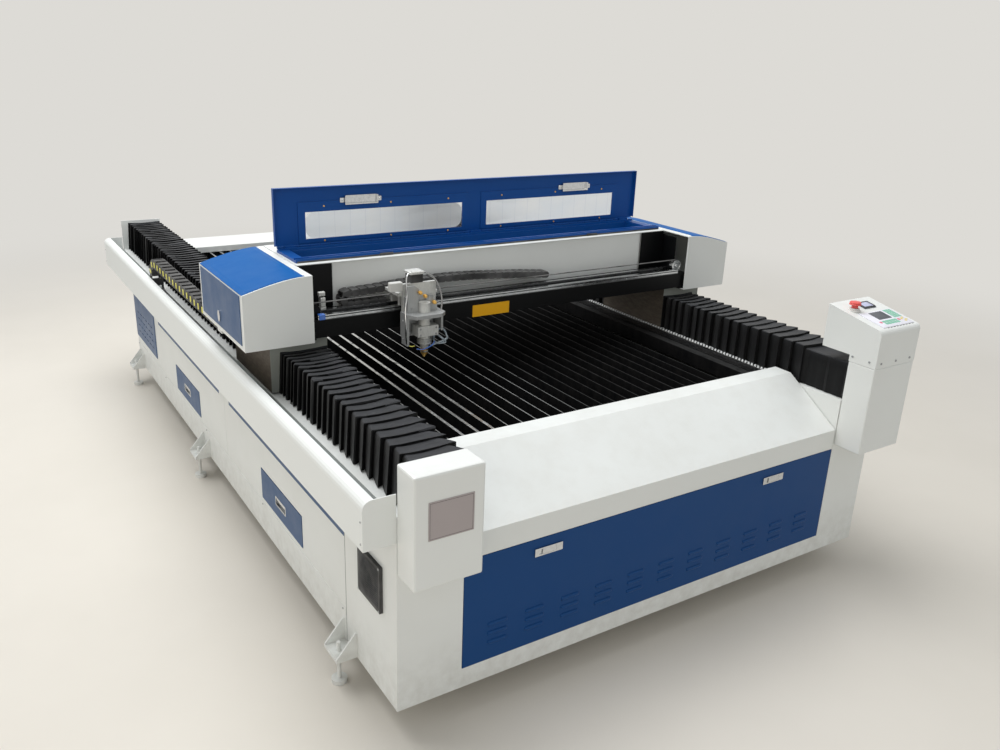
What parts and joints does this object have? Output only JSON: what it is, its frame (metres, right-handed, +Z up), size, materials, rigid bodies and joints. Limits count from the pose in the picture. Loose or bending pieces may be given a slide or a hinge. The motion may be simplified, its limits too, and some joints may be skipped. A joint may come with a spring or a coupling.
{
  "type": "fiber laser cutting machine",
  "caption": "Flat-bed gantry fiber laser cutter: cabinet bed with slat table, bellows rails, travelling gantry with lidded housing, cutting head, control column.",
  "frame": {"origin": "on the floor at the middle of the machine's plan", "axes": "+X to the right seen from the front, +Y towards the rear, +Z up"},
  "size_m": [2.1023, 3.485, 1.325],
  "materials": {
    "white_paint": "smooth semi-gloss powder coat",
    "blue_paint": "smooth semi-gloss powder coat",
    "black_paint": "satin",
    "rail_steel": "ground",
    "slat_steel": "dull, scaled by cutting",
    "aluminium": "satin machined",
    "chrome": "bright plated",
    "brass": "turned",
    "belt_rubber": "matt",
    "bellows_cloth": "coated cloth, slight sheen",
    "black_plastic": "moulded",
    "window_acrylic": "clear sheet under film",
    "keypad_film": "printed film",
    "screen": "display window",
    "stop_red": "moulded",
    "pale_grey_plastic": "moulded",
    "primer": "matt primer, rubbed",
    "plate_grey": "satin blank plate"
  },
  "bodies": {
    "bed": {"bed_frame": "white_paint", "top_frame": "white_paint", "front_cabinet": "white_paint", "front_hood": "white_paint", "rear_hood": "white_paint", "corner_box": "white_paint", "blank_plate": "plate_grey", "column_lower": "white_paint", "column_upper": "white_paint", "keypad": "keypad_film", "meter": "screen", "stop_collar": "pale_grey_plastic", "trough_left": "white_paint", "trough_right": "white_paint", "vent_plate": "blue_paint", "fan_guard": "black_plastic", "y_rail_left": "rail_steel", "y_rail_right": "rail_steel", "slat_table": "slat_steel"},
    "gantry": {"gantry_foot_left": "primer", "gantry_foot_right": "primer", "end_cover_left": "white_paint", "end_cover_right": "white_paint", "beam": "black_paint", "x_rail_front": "rail_steel", "x_rail_rear": "rail_steel", "back_panel": "white_paint", "gantry_housing": "white_paint", "seal_frame": "blue_paint", "hinge_rail": "blue_paint", "x_belt": "belt_rubber", "y_chain": "black_plastic", "bellows_left_front": "bellows_cloth", "bellows_left_rear": "bellows_cloth", "bellows_right_front": "bellows_cloth", "bellows_right_rear": "bellows_cloth", "x_chain": "black_plastic"},
    "carriage": {"carriage": "aluminium", "lift_motor": "black_plastic"},
    "head": {"head_plate": "aluminium", "cutting_head": "aluminium", "nozzle": "brass"},
    "pulley": {"x_pulley": "chrome"},
    "lid": {"lid": "blue_paint", "window_left": "window_acrylic", "window_right": "window_acrylic"},
    "lid_latch_left": {"lid_latch_left": "chrome"},
    "lid_latch_right": {"lid_latch_right": "chrome"},
    "cover_door": {"cover_door": "blue_paint"},
    "cover_lock": {"cover_lock": "chrome"},
    "front_door": {"front_door": "blue_paint", "door_latch_left": "chrome", "door_latch_right": "chrome"},
    "door_paddle_left": {"door_paddle_left": "chrome"},
    "door_paddle_right": {"door_paddle_right": "chrome"},
    "drawer_1": {"drawer_1": "blue_paint"},
    "drawer_2": {"drawer_2": "blue_paint"},
    "stop_button": {"stop_button": "stop_red"},
    "fan": {"fan_rotor": "black_plastic"}
  },
  "joints": [
    {"name": "gantry_slide", "type": "slide", "parent": "bed", "child": "gantry", "axis": [0, 1, 0], "range_m": [-0.74, 1.76], "deforming": ["bellows_left_front", "bellows_left_rear", "bellows_right_front", "bellows_right_rear", "y_chain"]},
    {"name": "carriage_slide", "type": "slide", "parent": "gantry", "child": "carriage", "axis": [1, 0, 0], "range_m": [-0.195, 1.105], "deforming": ["x_chain"]},
    {"name": "head_slide", "type": "slide", "parent": "carriage", "child": "head", "axis": [0, 0, 1], "range_m": [-0.085, 0.03]},
    {"name": "pulley_spin", "type": "hinge", "parent": "gantry", "child": "pulley", "pos_m": [0.802, -0.7075, 0.973], "axis": [0, 1, 0], "range_deg": [-3000, 3000]},
    {"name": "lid_hinge", "type": "hinge", "parent": "gantry", "child": "lid", "pos_m": [0, -0.3875, 1.122], "axis": [1, 0, 0], "range_deg": [0, 90]},
    {"name": "cover_door_hinge", "type": "hinge", "parent": "gantry", "child": "cover_door", "pos_m": [-1.0493, -0.2875, 0.973], "axis": [0, 0, -1], "range_deg": [0, 100]},
    {"name": "cover_lock_turn", "type": "hinge", "parent": "cover_door", "child": "cover_lock", "pos_m": [-1.0523, -0.4975, 0.93], "axis": [1, 0, 0], "range_deg": [0, 90]},
    {"name": "front_door_hinge", "type": "hinge", "parent": "bed", "child": "front_door", "pos_m": [0, -1.6375, 0.1633], "axis": [1, 0, 0], "range_deg": [0, 90]},
    {"name": "drawer_1_slide", "type": "slide", "parent": "bed", "child": "drawer_1", "axis": [-1, 0, 0], "range_m": [0, 0.36]},
    {"name": "drawer_2_slide", "type": "slide", "parent": "bed", "child": "drawer_2", "axis": [-1, 0, 0], "range_m": [0, 0.36]},
    {"name": "stop_push", "type": "slide", "parent": "bed", "child": "stop_button", "axis": [0, 0, -1], "range_m": [0, 0.005], "stiffness_N_per_m": 800},
    {"name": "fan_spin", "type": "hinge", "parent": "bed", "child": "fan", "pos_m": [-0.935, -1.4825, 0.437], "axis": [1, 0, 0], "continuous": true},
    {"name": "lid_latch_left_hinge", "type": "hinge", "parent": "lid", "child": "lid_latch_left", "pos_m": [-0.485, -0.3908, 1.256], "axis": [1, 0, 0], "range_deg": [0, 75]},
    {"name": "door_paddle_left_hinge", "type": "hinge", "parent": "front_door", "child": "door_paddle_left", "pos_m": [-0.477, -1.6428, 0.4787], "axis": [-1, 0, 0], "range_deg": [0, 40]},
    {"name": "lid_latch_right_hinge", "type": "hinge", "parent": "lid", "child": "lid_latch_right", "pos_m": [0.485, -0.3908, 1.256], "axis": [1, 0, 0], "range_deg": [0, 75]},
    {"name": "door_paddle_right_hinge", "type": "hinge", "parent": "front_door", "child": "door_paddle_right", "pos_m": [0.454, -1.6428, 0.4787], "axis": [-1, 0, 0], "range_deg": [0, 40]}
  ],
  "couplings": [
    {"joint": "pulley_spin", "follows": "carriage_slide", "rad_per_m": 45.455}
  ]
}
